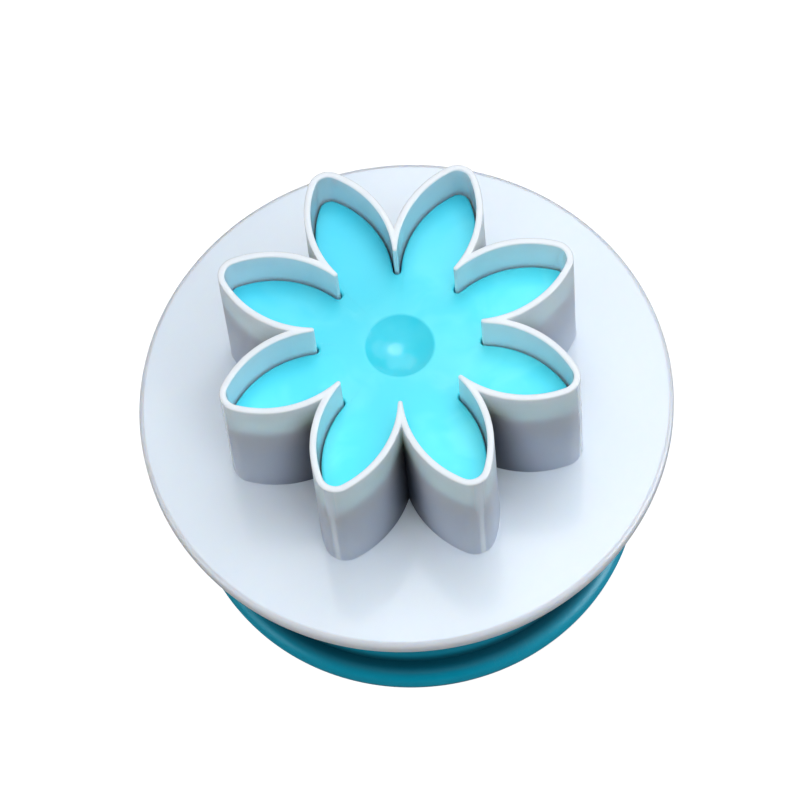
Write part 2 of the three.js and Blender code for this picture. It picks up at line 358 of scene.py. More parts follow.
def flower_cutter():
    """The white moulding: from the guide's bore up over the blade, round the flange and back below."""
    rim_height = RIM_TOP - RIM_ROUND
    fillet_height = FLANGE_TOP + FOOT_FILLET
    rim_in = quarter(draw_petal, RIM_ROUND, rim_height, RIM_ROUND, 2, 1)
    rim_out = quarter(draw_petal, BLADE_RIM - RIM_ROUND, rim_height, RIM_ROUND, 1, 0)
    wall_out = []
    for row in range(1, WALL_ROWS):
        share = row / WALL_ROWS
        grow = BLADE_RIM + (BLADE_FOOT - BLADE_RIM) * share
        height = rim_height + (fillet_height - rim_height) * share
        wall_out.append((draw_petal, grow, height))
    foot = quarter(draw_petal, BLADE_FOOT + FOOT_FILLET, fillet_height, FOOT_FILLET, 2, 3)
    edge = FLANGE_RADIUS - FLANGE_EDGE_ROUND
    edge_top = quarter(draw_ring, edge, FLANGE_TOP - FLANGE_EDGE_ROUND, FLANGE_EDGE_ROUND, 1, 0)
    edge_bottom = quarter(draw_ring, edge, FLANGE_BOTTOM + FLANGE_EDGE_ROUND, FLANGE_EDGE_ROUND, 0, -1)
    sleeve_inside = SLEEVE_RADIUS - SLEEVE_WALL
    sleeve_high = FLANGE_BOTTOM - SLEEVE_ROUND
    sleeve_low = body_low.z + SLEEVE_ROUND
    guide_low = GUIDE_BOTTOM + GUIDE_ROUND
    sections = [
        (draw_ring, GUIDE_BORE, FLANGE_TOP),
        (draw_petal, 0, FLANGE_TOP),
        *rim_in,
        *rim_out,
        *wall_out,
        *foot,
        *edge_top,
        *edge_bottom,
        *quarter(draw_ring, SLEEVE_RADIUS + SLEEVE_ROUND, sleeve_high, SLEEVE_ROUND, 1, 2),
        *quarter(draw_ring, SLEEVE_RADIUS - SLEEVE_ROUND, sleeve_low, SLEEVE_ROUND, 0, -1),
        *quarter(draw_ring, sleeve_inside + SLEEVE_ROUND, sleeve_low, SLEEVE_ROUND, -1, -2),
        (draw_ring, sleeve_inside, FLANGE_BOTTOM),
        (draw_ring, GUIDE_RADIUS, FLANGE_BOTTOM),
        *quarter(draw_ring, GUIDE_RADIUS - GUIDE_ROUND, guide_low, GUIDE_ROUND, 0, -1),
        *quarter(draw_ring, GUIDE_BORE + GUIDE_ROUND, guide_low, GUIDE_ROUND, -1, -2),
    ]
    piece = flower_piece("flower_cutter", sections, closed=True)
    close_mesh()
    smooth(piece)
    # The valley attribute holds painted shade for the narrow valleys between the petals.
    shade = piece.data.attributes.new("valley", "FLOAT", "POINT")
    for vertex in piece.data.vertices:
        shade.data[vertex.index].value = valley_shade_depth(vertex.co)
    return piece


def dimpled_ejector():
    """The cyan flower plate, hollow below, with a dimple on top and a hub for the head of the stem."""
    top = ejector_high.z
    bottom = ejector_low.z
    plate_bottom = top - EJECTOR_PLATE
    hub_bottom = plate_bottom - HUB_LENGTH
    bowl = (DIMPLE_RADIUS**2 + DIMPLE_DEPTH**2) / (2 * DIMPLE_DEPTH)
    bowl_centre = top - DIMPLE_DEPTH + bowl
    reach = bowl + DIMPLE_EDGE_ROUND
    edge_drop = bowl - DIMPLE_DEPTH + DIMPLE_EDGE_ROUND
    edge_radius = math.sqrt(reach**2 - edge_drop**2)
    edge_height = top - DIMPLE_EDGE_ROUND
    start = math.asin(POLE_RADIUS / bowl) / QUARTER_TURN
    meet = math.atan2(edge_radius, edge_drop) / QUARTER_TURN
    dimple = quarter(draw_ring, 0, bowl_centre, bowl, start - 1, meet - 1, BOWL_STEPS)
    dimple_edge = quarter(
        draw_ring, edge_radius, edge_height, DIMPLE_EDGE_ROUND, 1 + meet, 1, DIMPLE_EDGE_STEPS
    )
    face = -EJECTOR_GAP - EJECTOR_ROUND
    inner = -EJECTOR_GAP - EJECTOR_WALL
    sections = [
        *dimple,
        *dimple_edge[1:],
        *quarter(draw_petal, face, top - EJECTOR_ROUND, EJECTOR_ROUND, 1, 0),
        (draw_petal, -EJECTOR_GAP, bottom),
        (draw_petal, inner, bottom),
        (draw_petal, inner, plate_bottom),
        (draw_ring, HUB_RADIUS, plate_bottom),
        (draw_ring, HUB_RADIUS, hub_bottom),
        (draw_ring, HUB_LIP_RADIUS, hub_bottom),
        (draw_ring, HUB_LIP_RADIUS, HUB_LIP_TOP),
        (draw_ring, HUB_BORE, HUB_LIP_TOP),
        (draw_ring, HUB_BORE, plate_bottom),
        (draw_ring, POLE_RADIUS, plate_bottom),
    ]
    piece = flower_piece("dimpled_ejector", sections, closed=False)
    close_pole(piece, top - DIMPLE_DEPTH)
    close_pole(piece, plate_bottom)
    close_mesh()
    smooth(piece)
    return piece


def knob_skirt():
    """The knob's skirt and floor, with a boss for the stem and a spigot for the press plate."""
    radius = 26.0 * MM
    groove = 25.0 * MM
    inside = 24.2 * MM
    bottom = 3.9 * MM
    groove_top = 4.5 * MM
    floor_top = 6.1 * MM
    boss = 6.2 * MM
    boss_top = 11.0 * MM
    socket = 4.3 * MM
    seat_top = 8.6 * MM
    seat_bottom = 7.0 * MM
    hole = 1.6 * MM
    counterbore = 4.1 * MM
    spigot_out = 23.2 * MM
    spigot_in = 22.0 * MM
    skirt_round = 0.6 * MM
    inside_round = 0.5 * MM
    boss_round = 0.4 * MM
    socket_round = 0.3 * MM
    small_round = 0.2 * MM
    corners = [
        (spigot_in, knob_low.z, small_round),
        (spigot_out, knob_low.z, small_round),
        (spigot_out, bottom, 0),
        (groove, bottom, small_round),
        (groove, groove_top, 0),
        (radius, groove_top, small_round),
        (radius, knob_high.z, skirt_round),
        (inside, knob_high.z, inside_round),
        (inside, floor_top, inside_round),
        (boss, floor_top, inside_round),
        (boss, boss_top, boss_round),
        (socket, boss_top, socket_round),
        (socket, seat_top, 0),
        (hole, seat_top, 0),
        (hole, seat_bottom, 0),
        (counterbore, seat_bottom, 0),
        (counterbore, bottom, small_round),
        (spigot_in, bottom, 0),
    ]
    piece = turned_piece("knob_skirt", corners, ring=True)
    smooth(piece)
    return piece


def press_plate():
    """The cover that is pressed: a round lip, and below a shallow dish with the mark of the gate."""
    radius = cover_high.x
    top = cover_high.z
    inside = 23.5 * MM
    floor_top = 1.8 * MM
    dish_depth = 0.6 * MM
    slope_radius = 18.0 * MM
    slope_height = 0.35 * MM
    ring_radius = 21.0 * MM
    gate = 1.5 * MM
    gate_floor = dish_depth + 0.25 * MM
    stub = 0.7 * MM
    stub_face = dish_depth + 0.1 * MM
    stub_round = 0.05 * MM
    gate_round = 0.1 * MM
    slope_round = 1.5 * MM
    ring_round = 1.0 * MM
    lip_round = 1.79 * MM
    inside_round = 0.3 * MM
    corners = [
        (0, stub_face, 0),
        (stub, stub_face, stub_round),
        (stub, gate_floor, 0),
        (gate, gate_floor, 0),
        (gate, dish_depth, gate_round),
        (slope_radius, slope_height, slope_round),
        (ring_radius, 0, ring_round),
        (radius, 0, lip_round),
        (radius, top, lip_round),
        (inside, top, inside_round),
        (inside, floor_top, inside_round),
        (0, floor_top, 0),
    ]
    piece = turned_piece("press_plate", corners, ring=False)
    smooth(piece)
    return piece


def plunger_post():
    """The stem, with a bore for the screw below and a head for the ejector's hub on top."""
    radius = 4.0 * MM
    head = 6.0 * MM
    head_bottom = stem_high.z - 2.0 * MM
    bore = 1.6 * MM
    bore_top = stem_low.z + 13.0 * MM
    end_round = 0.4 * MM
    inner_round = 0.3 * MM
    corners = [
        (0, bore_top, 0),
        (bore, bore_top, 0),
        (bore, stem_low.z, inner_round),
        (radius, stem_low.z, end_round),
        (radius, head_bottom, inner_round),
        (head, head_bottom, inner_round),
        (head, stem_high.z, end_round),
        (0, stem_high.z, 0),
    ]
    piece = turned_piece("plunger_post", corners, ring=False)
    smooth(piece)
    return piece


def return_coil():
    """The spring, with a closely wound turn at each end."""
    wire = 0.5 * MM
    wire_sides = 14
    turns = 6
    steps_per_turn = 32
    end_pitch = 1.2 * MM
    radius = spring_high.x - wire
    bottom = spring_low.z + wire
    height = spring_high.z - spring_low.z - 2 * wire
    open_pitch = (height - 2 * end_pitch) / (turns - 2)
    closed_turn = [end_pitch / steps_per_turn] * steps_per_turn
    open_turns = [open_pitch / steps_per_turn] * (steps_per_turn * (turns - 2))
    rises = [*closed_turn, *open_turns, *closed_turn]
    piece = wound_piece("return_coil", wire, wire_sides, radius, bottom, rises, steps_per_turn)
    smooth(piece, crease=60)
    return piece


def cross_recess(face, width, length, depth):
    """Two crossed bars that narrow upwards, to be cut out of the screw's face."""
    centre = (0, 0, face)
    side = 2 * depth
    narrowing = (0.5, 0.8, 1)
    bpy.ops.object.select_all(action="DESELECT")
    bpy.ops.mesh.primitive_cube_add(size=side, location=centre)
    piece = bpy.context.object
    bpy.ops.object.transform_apply()
    bpy.ops.object.mode_set(mode="EDIT")
    bpy.ops.mesh.select_all(action="SELECT")
    bpy.ops.transform.resize(value=(length / side, width / side, 1), center_override=centre)
    select_vertices(piece, lambda vertex: vertex.co.z > face)
    bpy.ops.transform.resize(value=narrowing, center_override=centre)
    bpy.ops.mesh.select_all(action="SELECT")
    bpy.ops.mesh.duplicate()
    bpy.ops.transform.rotate(value=QUARTER_TURN, orient_axis="Z", center_override=centre)
    close_mesh()
    return piece


def combine(piece, other, operation):
    """Cuts the other shape out of the piece, or joins it on, and removes the other."""
    apply_modifier(piece, "BOOLEAN", object=other, operation=operation, solver="EXACT", use_self=True)
    bpy.data.objects.remove(other)


def cross_screw():
    """The screw, head down, with a wound thread and a cross recess."""
    head = 2.8 * MM
    head_top = screw_low.z + 2.0 * MM
    head_round = 0.9 * MM
    edge_round = 0.1 * MM
    core = 1.05 * MM
    core_top = screw_high.z - 1.4 * MM
    thread_pitch = 1.1 * MM
    thread_size = 0.32 * MM
    thread_sides = 3
    thread_radius = core + 0.1 * MM
    steps_per_turn = 24
    corners = [
        (0, screw_low.z, 0),
        (head, screw_low.z, head_round),
        (head, head_top, edge_round),
        (core, head_top, edge_round),
        (core, core_top, 0),
        (0, screw_high.z, 0),
    ]
    piece = turned_piece("cross_screw", corners, ring=False, steps=SMALL_TURN_STEPS)
    bottom = head_top + thread_pitch
    length = core_top - thread_pitch / 2 - bottom
    step = thread_pitch / steps_per_turn
    rises = [step] * int(length / step)
    thread = wound_piece("thread", thread_size, thread_sides, thread_radius, bottom, rises, steps_per_turn)
    combine(piece, thread, "UNION")
    recess = cross_recess(screw_low.z, width=0.75 * MM, length=3.0 * MM, depth=1.2 * MM)
    combine(piece, recess, "DIFFERENCE")
    smooth(piece)
    return piece


def flat_washer():
    hole = 1.6 * MM
    radius = washer_high.x
    edge_round = 0.15 * MM
    corners = [
        (hole, washer_low.z, edge_round),
        (radius, washer_low.z, edge_round),
        (radius, washer_high.z, edge_round),
        (hole, washer_high.z, edge_round),
    ]
    piece = turned_piece("flat_washer", corners, ring=True, steps=SMALL_TURN_STEPS)
    smooth(piece)
    return piece


# Node helpers

COLOUR = "NodeSocketColor"
NUMBER = "NodeSocketFloat"


def add_node(tree, kind, inputs=None, **settings):
    """A node with its settings and inputs. An input that is a socket is linked, and a value is set."""
    node = tree.nodes.new(kind)
    for name, value in settings.items():
        setattr(node, name, value)
    for name, value in (inputs or {}).items():
        if isinstance(value, bpy.types.NodeSocket):
            tree.links.new(value, node.inputs[name])
        else:
            node.inputs[name].default_value = value
    return node


def calculate(tree, operation, first, second=0.0, third=0.0):
    node = add_node(tree, "ShaderNodeMath", {0: first, 1: second, 2: third}, operation=operation)
    return node.outputs[0]


def calculate_vector(tree, operation, inputs, output=0):
    return add_node(tree, "ShaderNodeVectorMath", inputs, operation=operation).outputs[output]


def blend(tree, amount, first, second):
    """A colour between the first and the second. The mix node's colour sockets are 6, 7 and 2."""
    node = add_node(tree, "ShaderNodeMix", {"Factor": amount}, data_type="RGBA")
    for socket, value in ((node.inputs[6], first), (node.inputs[7], second)):
        if isinstance(value, bpy.types.NodeSocket):
            tree.links.new(value, socket)
        else:
            socket.default_value = (*value, 1)
    return node.outputs[2]


def spread_range(tree, value, from_low, from_high, to_low, to_high):
    """Carries a value smoothly from one range to another, and holds it at the ends."""
    inputs = {
        "Value": value,
        "From Min": from_low,
        "From Max": from_high,
        "To Min": to_low,
        "To Max": to_high,
    }
    node = add_node(tree, "ShaderNodeMapRange", inputs, interpolation_type="SMOOTHSTEP")
    return node.outputs["Result"]


def piece_coordinates(tree):
    return add_node(tree, "ShaderNodeTexCoord").outputs["Object"]


def place_parts(tree):
    """The X, Y and Z of a place on the piece, by name."""
    return add_node(tree, "ShaderNodeSeparateXYZ", {0: piece_coordinates(tree)}).outputs


def axis_distance(tree, place):
    """Distance of a place, given by its parts, from the plunger's axis."""
    side = calculate(tree, "MULTIPLY", place["Y"], place["Y"])
    return calculate(tree, "SQRT", calculate(tree, "MULTIPLY_ADD", place["X"], place["X"], side))


def noise(tree, place, frequency, detail=2.0, rough=0.5, output="Fac"):
    """Noise with that many features to the metre."""
    inputs = {"Vector": place, "Scale": frequency, "Detail": detail, "Roughness": rough}
    return add_node(tree, "ShaderNodeTexNoise", inputs).outputs[output]


def effect_group(name, inputs, outputs):
    """An empty node group. Its inputs and outputs are given as names with their kinds of socket."""
    group = bpy.data.node_groups.new(name, "ShaderNodeTree")
    for label, kind in inputs.items():
        group.interface.new_socket(label, in_out="INPUT", socket_type=kind)
    for label, kind in outputs.items():
        group.interface.new_socket(label, in_out="OUTPUT", socket_type=kind)
    entry = group.nodes.new("NodeGroupInput")
    leave = group.nodes.new("NodeGroupOutput")
    return group, entry.outputs, leave.inputs


# Shared effects: each is a node group, which the finishes place with their own values

DRIFT_SIZE = 14 * MM
DRIFT_BAND = (0.3, 0.7)
SWIRL_SIZE = 11 * MM
NOISE_MIDDLE = 0.5
SWIRL_PUSH = 20 * MM
WISP_BAND = (0.42, 0.68)
SCRATCH_DIRECTIONS = ((0.2, 0.2, 0.35), (-0.3, -0.3, 1.45), (0.5, 0.5, 2.5))
SCRATCH_STRETCH = (0.025, 1.0, 0.4)
SCRATCH_WIDTH = 0.012
PATCH_SIZE = 9 * MM
PATCH_BAND = (0.85, 1.15)
SPECK_BAND = (0.02, 0.045)
CLOUD_SIZE = 1.5 * MM


def moulded_skin_group():
    """The faint waviness and fine grain of a moulded face, and a slow drift of its gloss."""
    inputs = {
        "Wave Frequency": NUMBER,
        "Wave Depth": NUMBER,
        "Grain Frequency": NUMBER,
        "Grain Depth": NUMBER,
    }
    group, given, result = effect_group("moulded_skin", inputs, {"Height": NUMBER, "Gloss Drift": NUMBER})
    place = piece_coordinates(group)
    wave = noise(group, place, given["Wave Frequency"])
    grain = noise(group, place, given["Grain Frequency"], detail=3.0, rough=0.6)
    wave_height = calculate(group, "MULTIPLY", wave, given["Wave Depth"])
    height = calculate(group, "MULTIPLY_ADD", grain, given["Grain Depth"], wave_height)
    drift = noise(group, place, 1 / DRIFT_SIZE, detail=4.0, rough=0.6)
    group.links.new(height, result["Height"])
    group.links.new(spread_range(group, drift, *DRIFT_BAND, 0.0, 1.0), result["Gloss Drift"])
    return group


def pigment_flow_group():
    """Pigment that drifts with the flow of the melt: soft swirls and fine wisps of a second tone."""
    inputs = {"Colour": COLOUR, "Flow Colour": COLOUR, "Amount": NUMBER, "Frequency": NUMBER}
    group, given, result = effect_group("pigment_flow", inputs, {"Colour": COLOUR})
    place = piece_coordinates(group)
    push = noise(group, place, 1 / SWIRL_SIZE, output="Color")
    centred = calculate_vector(group, "SUBTRACT", {0: push, 1: (NOISE_MIDDLE,) * 3})
    carried = calculate_vector(group, "MULTIPLY_ADD", {0: centred, 1: (SWIRL_PUSH,) * 3, 2: place})
    swirl = noise(group, carried, given["Frequency"], detail=3.0, rough=0.55)
    wisp = spread_range(group, swirl, *WISP_BAND, 0.0, 1.0)
    flow = calculate(group, "MULTIPLY", wisp, given["Amount"])
    group.links.new(blend(group, flow, given["Colour"], given["Flow Colour"]), result["Colour"])
    return group


def handling_marks_group():
    """Hairline scratches in three directions, in patches, as stacking and washing leave them."""
    inputs = {"Fineness": NUMBER, "Cover": NUMBER}
    group, given, result = effect_group("handling_marks", inputs, {"Scratches": NUMBER})
    place = piece_coordinates(group)
    scratches = 0.0
    for direction in SCRATCH_DIRECTIONS:
        angles = {"Vector": place, "Rotation": direction}
        turned = add_node(group, "ShaderNodeVectorRotate", angles, rotation_type="EULER_XYZ").outputs[0]
        stretched = calculate_vector(group, "MULTIPLY", {0: turned, 1: SCRATCH_STRETCH})
        line = noise(group, stretched, given["Fineness"], detail=1.0)
        from_middle = calculate(group, "ABSOLUTE", calculate(group, "SUBTRACT", line, NOISE_MIDDLE))
        hair = spread_range(group, from_middle, 0.0, SCRATCH_WIDTH, 1.0, 0.0)
        scratches = calculate(group, "MAXIMUM", hair, scratches)
    patch = noise(group, place, 1 / PATCH_SIZE, detail=3.0)
    shown = spread_range(group, calculate(group, "ADD", patch, given["Cover"]), *PATCH_BAND, 0.0, 1.0)
    group.links.new(calculate(group, "MULTIPLY", scratches, shown), result["Scratches"])
    return group


def mould_specks_group():
    """Rare small specks burnt into the melt."""
    inputs = {"Frequency": NUMBER, "Share": NUMBER}
    group, given, result = effect_group("mould_specks", inputs, {"Speck": NUMBER})
    place = piece_coordinates(group)
    cell = add_node(group, "ShaderNodeTexVoronoi", {"Vector": place, "Scale": given["Frequency"]}).outputs
    near = spread_range(group, cell["Distance"], *SPECK_BAND, 1.0, 0.0)
    pick = add_node(group, "ShaderNodeSeparateColor", {0: cell["Color"]}).outputs[0]
    chosen = calculate(group, "LESS_THAN", pick, given["Share"])
    group.links.new(calculate(group, "MULTIPLY", near, chosen), result["Speck"])
    return group


def turned_metal_group():
    """Rings left by turning or drawing the metal, with a cloudy tone over them."""
    inputs = {"Ring Frequency": NUMBER, "Ring Depth": NUMBER}
    group, given, result = effect_group("turned_metal", inputs, {"Height": NUMBER, "Tone": NUMBER})
    place = place_parts(group)
    ring_parts = {"X": axis_distance(group, place), "Z": place["Z"]}
    ring_place = add_node(group, "ShaderNodeCombineXYZ", ring_parts).outputs[0]
    ring = noise(group, ring_place, given["Ring Frequency"], detail=1.0)
    cloud = noise(group, piece_coordinates(group), 1 / CLOUD_SIZE, detail=3.0)
    both = calculate(group, "ADD", ring, cloud)
    group.links.new(calculate(group, "MULTIPLY", ring, given["Ring Depth"]), result["Height"])
    group.links.new(calculate(group, "DIVIDE", both, 2.0), result["Tone"])
    return group


moulded_skin = moulded_skin_group()
pigment_flow = pigment_flow_group()
handling_marks = handling_marks_group()
mould_specks = mould_specks_group()
turned_metal = turned_metal_group()


# Finishes: tones, and the places where one tone turns into another

WHITE_TONE = (0.825, 0.9, 0.965)
WHITE_FLOW = (0.845, 0.915, 0.972)
WHITE_GLOW = (1.15, 0.9, 0.7)
# A darker copy of the white for the outside of the blade: painted shade on its walls.
BLADE_SHADE_TONE = (0.8, 0.79, 0.83)
BLADE_SHADE_FLOW = (0.82, 0.81, 0.85)
# A lighter, warmer copy of the white for the flange's edge: painted light on the edge band.
EDGE_LIT_TONE = (0.95, 0.94, 0.945)
EDGE_LIT_FLOW = (0.955, 0.945, 0.95)
EDGE_WIDTH = 0.8 * MM
# Painted shade: a cool blue tint low on the outside of the blade, gone above this band.
FOOT_SHADE_TONE = (0.5, 0.67, 0.95)
FOOT_SHADE_BAND = (FLANGE_TOP + 7 * MM, FLANGE_TOP + 14 * MM)
# Painted highlight: a lighter white along the top of the blade's rim.
RIM_HIGHLIGHT_TONE = (0.95, 0.975, 0.97)
RIM_HIGHLIGHT_BAND = (RIM_TOP - 0.35 * MM, RIM_TOP - 0.1 * MM)
SPECK_TONE = (0.3, 0.2, 0.15)
SPECK_STRENGTH = 0.55
# Painted shade: the dark tone and strength in the valleys between petals.
VALLEY_SHADE_TONE = (0.02, 0.03, 0.045)
VALLEY_SHADE_STRENGTH = 0.93

CYAN_TONE = (0.1, 0.84, 0.95)
CYAN_FLOW = (0.2, 0.94, 0.99)
CYAN_GLOW = (0.3, 0.9, 1.0)
# Painted shade across the ejector: a darker cyan towards one side, along that direction and over that
# band.
CYAN_SIDE_SHADE = (0.06, 0.61, 0.76)
SHADE_SIDE = (-0.15, 0.99, 0)
SIDE_SHADE_BAND = (-4 * MM, 18 * MM)
SIDE_SHADE_STRENGTH = 0.7
# Painted shade in the dimple: a darker cyan there. The band also marks where the dimple is polished.
DIMPLE_SHADE_TONE = (0.02, 0.72, 0.9)
DIMPLE_SHADE_STRENGTH = 0.45
DIMPLE_POLISH_AND_SHADE_BAND = (DIMPLE_RADIUS - 0.3 * MM, DIMPLE_RADIUS + 0.2 * MM)
SATIN_ROUGHNESS = 0.36
POLISH_GAIN = 0.18

# The knob's teal is deeper than the ejector's cyan, in part as painted shade for the knob that sits under
# the flange.
TEAL_TONE = (0.002, 0.505, 0.715)
TEAL_FLOW = (0.006, 0.58, 0.79)
SCUFF_TONE = (0.2, 0.65, 0.75)
SCUFF_STRENGTH = 0.12
# Painted shade round the groove between skirt and lip: its centre, its reach, its tone and strength.
GROOVE_RADIUS = 25.9 * MM
GROOVE_HEIGHT = 4.3 * MM
GROOVE_SHADE = (0.5 * MM, 2.6 * MM)
GROOVE_SHADE_TONE = (0.001, 0.05, 0.09)
GROOVE_SHADE_STRENGTH = 0.85

SPRING_BRIGHT = (0.66, 0.67, 0.69)
SPRING_DULL = (0.5, 0.51, 0.53)
SCREW_BRIGHT = (0.74, 0.74, 0.75)
SCREW_DULL = (0.58, 0.58, 0.6)


def new_finish(name):
    material = bpy.data.materials.new(name)
    material.use_nodes = True
    return material, material.node_tree, material.node_tree.nodes["Principled BSDF"]


def place_effect(tree, group, values):
    """A shared effect with this finish's own values."""
    node = tree.nodes.new("ShaderNodeGroup")
    node.node_tree = group
    for name, value in values.items():
        node.inputs[name].default_value = (*value, 1) if isinstance(value, tuple) else value
    return node.outputs


def tint(tree, mask, strength, first, second):
    """Turns the first colour towards the second where the mask shows, by the strength."""
    return blend(tree, calculate(tree, "MULTIPLY", mask, strength), first, second)


def skin_bump(tree, shader, height):
    """Lets a height in metres tilt the surface's shading."""
    bump = add_node(tree, "ShaderNodeBump", {"Height": height, "Distance": 1.0, "Strength": 1.0})
    tree.links.new(bump.outputs["Normal"], shader.inputs["Normal"])


def set_gloss(tree, shader, drift, scratches, lowest, drift_span, scratch_span):
    """Roughness from its lowest value, with the slow drift and the scratches on top."""
    drifted = calculate(tree, "MULTIPLY_ADD", drift, drift_span, lowest)
    roughness = calculate(tree, "MULTIPLY_ADD", scratches, scratch_span, drifted)
    tree.links.new(roughness, shader.inputs["Roughness"])


def set_glow(shader, weight, radius, depth):
    """Light that enters the plastic and leaves it again nearby."""
    shader.inputs["Subsurface Weight"].default_value = weight
    shader.inputs["Subsurface Radius"].default_value = radius
    shader.inputs["Subsurface Scale"].default_value = depth


def white_finish(name, tone, flow_tone, roughness, glow, light_depth, foot_shade_strength=0.0):
    """Glossy white plastic. The light depth says how far light travels in it: far in the thin blade."""
    material, tree, shader = new_finish(name)
    flow = place_effect(
        tree,
        pigment_flow,
        {"Colour": tone, "Flow Colour": flow_tone, "Amount": 0.5, "Frequency": 60.0},
    )
    speck = place_effect(tree, mould_specks, {"Frequency": 150.0, "Share": 0.03})
    height = place_parts(tree)["Z"]
    # Painted shade: the lower part of the blade's outside turned cool blue.
    foot = spread_range(tree, height, *FOOT_SHADE_BAND, foot_shade_strength, 0.0)
    foot_shaded = blend(tree, foot, flow["Colour"], FOOT_SHADE_TONE)
    # Painted highlight: the rim's top made lighter.
    rim = spread_range(tree, height, *RIM_HIGHLIGHT_BAND, 0.0, 1.0)
    rim_lit = blend(tree, rim, foot_shaded, RIM_HIGHLIGHT_TONE)
    specked = tint(tree, speck["Speck"], SPECK_STRENGTH, rim_lit, SPECK_TONE)
    # Painted shade in the valleys between petals, from the piece's valley attribute.
    valley = add_node(tree, "ShaderNodeAttribute", attribute_name="valley").outputs["Fac"]
    shaded = tint(tree, valley, VALLEY_SHADE_STRENGTH, specked, VALLEY_SHADE_TONE)
    tree.links.new(shaded, shader.inputs["Base Color"])
    skin = place_effect(
        tree,
        moulded_skin,
        {"Wave Frequency": 240.0, "Wave Depth": 7e-6, "Grain Frequency": 7000.0, "Grain Depth": 2e-7},
    )
    scratches = place_effect(tree, handling_marks, {"Fineness": 3500.0, "Cover": 0.42})["Scratches"]
    drift = skin["Gloss Drift"]
    set_gloss(tree, shader, drift, scratches, lowest=roughness, drift_span=0.05, scratch_span=0.1)
    skin_bump(tree, shader, skin["Height"])
    set_glow(shader, weight=glow, radius=WHITE_GLOW, depth=light_depth)
    return material


def cyan_finish():
    """Satin cyan plastic with flow marks, polished in the dimple, with painted shade towards one side and
    in the dimple.
    """
    material, tree, shader = new_finish("cyan_plastic")
    flow = place_effect(
        tree,
        pigment_flow,
        {"Colour": CYAN_TONE, "Flow Colour": CYAN_FLOW, "Amount": 0.75, "Frequency": 75.0},
    )
    # Painted shade: the cyan darkens towards one side of the plate.
    sides = {0: piece_coordinates(tree), 1: SHADE_SIDE}
    along = calculate_vector(tree, "DOT_PRODUCT", sides, output="Value")
    side_shade = spread_range(tree, along, *SIDE_SHADE_BAND, 0.0, SIDE_SHADE_STRENGTH)
    side_shaded = blend(tree, side_shade, flow["Colour"], CYAN_SIDE_SHADE)
    # The dimple's mask: painted shade in its colour, and a real polish in its gloss and coat.
    dimple_polish_and_shade = spread_range(tree, axis_distance(tree, place_parts(tree)), *DIMPLE_POLISH_AND_SHADE_BAND, 1.0, 0.0)
    dimpled = tint(tree, dimple_polish_and_shade, DIMPLE_SHADE_STRENGTH, side_shaded, DIMPLE_SHADE_TONE)
    tree.links.new(dimpled, shader.inputs["Base Color"])
    skin = place_effect(
        tree,
        moulded_skin,
        {"Wave Frequency": 300.0, "Wave Depth": 8e-6, "Grain Frequency": 9000.0, "Grain Depth": 6e-7},
    )
    scratches = place_effect(tree, handling_marks, {"Fineness": 4200.0, "Cover": 0.36})["Scratches"]
    satin = calculate(tree, "MULTIPLY_ADD", dimple_polish_and_shade, -POLISH_GAIN, SATIN_ROUGHNESS)
    drift = skin["Gloss Drift"]
    set_gloss(tree, shader, drift, scratches, lowest=satin, drift_span=0.07, scratch_span=0.12)
    skin_bump(tree, shader, skin["Height"])
    tree.links.new(dimple_polish_and_shade, shader.inputs["Coat Weight"])
    shader.inputs["Coat Roughness"].default_value = 0.14
    set_glow(shader, weight=0.3, radius=CYAN_GLOW, depth=1.0 * MM)
    return material


def teal_finish():
    """Deeper teal plastic of the knob, in part as painted shade under the flange; handled more, so its
    scratches show more. Painted shade darkens it in the groove.
    """
    material, tree, shader = new_finish("teal_plastic")
    flow = place_effect(
        tree,
        pigment_flow,
        {"Colour": TEAL_TONE, "Flow Colour": TEAL_FLOW, "Amount": 0.6, "Frequency": 85.0},
    )
    scratches = place_effect(tree, handling_marks, {"Fineness": 3000.0, "Cover": 0.5})["Scratches"]
    scuffed = tint(tree, scratches, SCUFF_STRENGTH, flow["Colour"], SCUFF_TONE)
    place = place_parts(tree)
    # Painted shade: darker near the groove, by distance from its centre.
    outwards = calculate(tree, "SUBTRACT", axis_distance(tree, place), GROOVE_RADIUS)
    upwards = calculate(tree, "SUBTRACT", place["Z"], GROOVE_HEIGHT)
    upwards_square = calculate(tree, "MULTIPLY", upwards, upwards)
    both_squares = calculate(tree, "MULTIPLY_ADD", outwards, outwards, upwards_square)
    groove = spread_range(tree, calculate(tree, "SQRT", both_squares), *GROOVE_SHADE, 1.0, 0.0)
    shaded = tint(tree, groove, GROOVE_SHADE_STRENGTH, scuffed, GROOVE_SHADE_TONE)
    tree.links.new(shaded, shader.inputs["Base Color"])
    skin = place_effect(
        tree,
        moulded_skin,
        {"Wave Frequency": 260.0, "Wave Depth": 9e-6, "Grain Frequency": 8000.0, "Grain Depth": 5e-7},
    )
    drift = skin["Gloss Drift"]
    set_gloss(tree, shader, drift, scratches, lowest=0.3, drift_span=0.09, scratch_span=0.12)
    shader.inputs["Specular IOR Level"].default_value = 0.26
    skin_bump(tree, shader, skin["Height"])
    return material


def steel_finish(name, bright, dull, ring_frequency, ring_depth, roughness):
    """Bare bright steel with the marks of its making."""
    material, tree, shader = new_finish(name)
    rings = place_effect(tree, turned_metal, {"Ring Frequency": ring_frequency, "Ring Depth": ring_depth})
    scratches = place_effect(tree, handling_marks, {"Fineness": 9000.0, "Cover": 0.5})["Scratches"]
    tone = rings["Tone"]
    tree.links.new(blend(tree, tone, dull, bright), shader.inputs["Base Color"])
    set_gloss(tree, shader, tone, scratches, lowest=roughness, drift_span=0.18, scratch_span=0.1)
    skin_bump(tree, shader, rings["Height"])
    shader.inputs["Metallic"].default_value = 1.0
    return material


